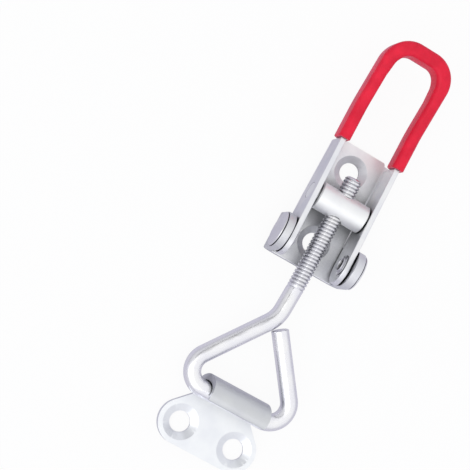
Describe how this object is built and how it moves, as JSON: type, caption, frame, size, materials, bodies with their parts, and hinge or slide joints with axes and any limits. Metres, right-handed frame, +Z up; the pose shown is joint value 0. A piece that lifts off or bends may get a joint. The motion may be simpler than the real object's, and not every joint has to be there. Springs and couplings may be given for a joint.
{
  "type": "toggle latch",
  "caption": "Over centre toggle latch: a red sleeved handle draws a threaded rod with a wire loop against a hooked catch plate.",
  "frame": {"origin": "midway between the base plate's two screw holes, on its underside", "axes": "+X from the catch plate towards the grip, +Z up off the mounting surface, +Y to the left when looking along +X"},
  "size_m": [0.1611, 0.0433, 0.0207],
  "materials": {
    "zinc_sheet": "bright zinc plated pressed sheet",
    "zinc_rivet": "bright zinc plated",
    "zinc_turned": "bright zinc plated, turned",
    "zinc_wire": "bright zinc plated drawn wire",
    "red_vinyl": "soft gloss, drawn over the handle"
  },
  "bodies": {
    "base": {"base_plate": "zinc_sheet", "pivot_rivet_left": "zinc_rivet", "pivot_rivet_right": "zinc_rivet"},
    "handle": {"handle_bar": "zinc_sheet", "handle_grip": "red_vinyl"},
    "barrel": {"cross_barrel": "zinc_turned"},
    "rod": {"draw_rod": "zinc_wire"},
    "catch": {"catch_plate": "zinc_sheet"}
  },
  "joints": [
    {"name": "handle_pivot", "type": "hinge", "parent": "base", "child": "handle", "pos_m": [-0.01725, 0, 0.0118], "axis": [0, -1, 0], "range_deg": [0, 150]},
    {"name": "barrel_pivot", "type": "hinge", "parent": "handle", "child": "barrel", "pos_m": [0.00015, 0, 0.0101], "axis": [0, -1, 0], "range_deg": [-150, 0]},
    {"name": "rod_adjust", "type": "slide", "parent": "barrel", "child": "rod", "axis": [0.9986, 0, 0.0532], "range_m": [-0.006, 0.01]},
    {"name": "catch_swing", "type": "hinge", "parent": "rod", "child": "catch", "pos_m": [-0.07725, 0, 0.00598], "axis": [0, 1, 0], "range_deg": [-75, 90]}
  ],
  "couplings": [
    {"joint": "barrel_pivot", "follows": "handle_pivot", "ratio": -1}
  ]
}
